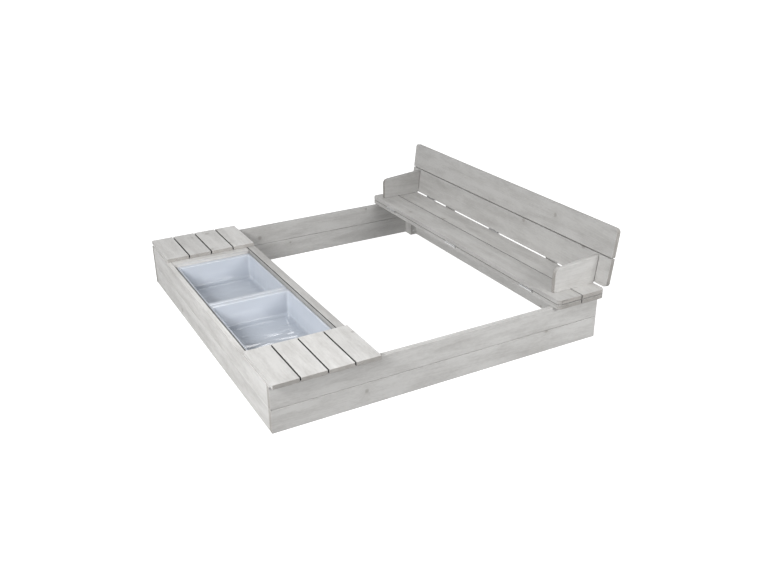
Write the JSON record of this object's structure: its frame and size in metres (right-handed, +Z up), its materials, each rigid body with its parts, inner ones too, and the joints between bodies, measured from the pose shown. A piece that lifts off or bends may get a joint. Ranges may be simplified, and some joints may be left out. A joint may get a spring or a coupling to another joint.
{
  "type": "sandbox",
  "caption": "Square wooden sandbox with a fold-out bench that opens flat into a cover, corner covers and lift-out tubs under a divider",
  "frame": {"origin": "on the ground under the middle of the whole object, leaning backrest included", "axes": "+X from the tubs to the bench, +Y from the near wall to the far wall, +Z up"},
  "size_m": [1.3076, 1.336, 0.4101],
  "materials": {
    "wall_wood": "grey-washed softwood, sawn and lightly sanded",
    "cover_wood": "pale grey-washed softwood",
    "bench_wood": "grey-washed softwood, planed",
    "inner_wood": "grey-washed softwood",
    "tub_plastic": "glossy pale blue-grey moulded plastic",
    "zinc": "zinc-plated steel"
  },
  "bodies": {
    "root": {"near_wall_lower": "wall_wood", "near_wall_upper": "wall_wood", "far_wall_lower": "wall_wood", "far_wall_upper": "wall_wood", "left_wall_lower": "wall_wood", "left_wall_upper": "wall_wood", "right_wall_lower": "wall_wood", "right_wall_upper": "wall_wood", "post_near_left": "inner_wood", "post_near_right": "inner_wood", "post_far_left": "inner_wood", "post_far_right": "inner_wood", "divider_lower": "inner_wood", "divider_upper": "inner_wood", "divider_cap": "cover_wood", "tub_ledge_left": "inner_wood", "tub_ledge_right": "inner_wood", "near_cover_batten": "cover_wood", "far_cover_batten": "cover_wood", "near_cover_slat_1": "cover_wood", "near_cover_slat_2": "cover_wood", "near_cover_slat_3": "cover_wood", "near_cover_slat_4": "cover_wood", "far_cover_slat_1": "cover_wood", "far_cover_slat_2": "cover_wood", "far_cover_slat_3": "cover_wood", "far_cover_slat_4": "cover_wood", "base_board_front": "bench_wood", "base_board_rear": "bench_wood", "base_cleat_near": "inner_wood", "base_cleat_far": "inner_wood", "stop_block_near": "inner_wood", "stop_block_far": "inner_wood", "front_hinge_base_leaves": "zinc", "front_hinge_pins": "zinc", "post_screws": "zinc", "cover_screws": "zinc", "base_screws": "zinc", "stop_screws": "zinc", "base_hinge_screws": "zinc"},
    "seat": {"seat_board_front": "bench_wood", "seat_board_rear": "bench_wood", "armrest_near": "bench_wood", "armrest_far": "bench_wood", "front_hinge_seat_leaves": "zinc", "rear_hinge_seat_leaves": "zinc", "rear_hinge_pins": "zinc", "arm_screws": "zinc", "seat_hinge_screws": "zinc"},
    "backrest": {"back_board_lower": "bench_wood", "back_board_upper": "bench_wood", "back_batten_near": "bench_wood", "back_batten_far": "bench_wood", "rear_hinge_back_leaves": "zinc", "back_batten_screws": "zinc"},
    "near_tub": {"near_tub": "tub_plastic"},
    "far_tub": {"far_tub": "tub_plastic"}
  },
  "joints": [
    {"name": "seat_fold", "type": "hinge", "parent": "root", "child": "seat", "pos_m": [0.38475, 0, 0.1785], "axis": [0, -1, 0], "range_deg": [0, 180]},
    {"name": "backrest_fold", "type": "hinge", "parent": "seat", "child": "backrest", "pos_m": [0.59825, 0, 0.1926], "axis": [0, 1, 0], "range_deg": [0, 82.5]},
    {"name": "near_tub_lift", "type": "slide", "parent": "root", "child": "near_tub", "axis": [0, 0, 1], "range_m": [0, 0.14]},
    {"name": "far_tub_lift", "type": "slide", "parent": "root", "child": "far_tub", "axis": [0, 0, 1], "range_m": [0, 0.14]}
  ],
  "couplings": [
    {"joint": "backrest_fold", "follows": "seat_fold", "ratio": 0.45833}
  ]
}
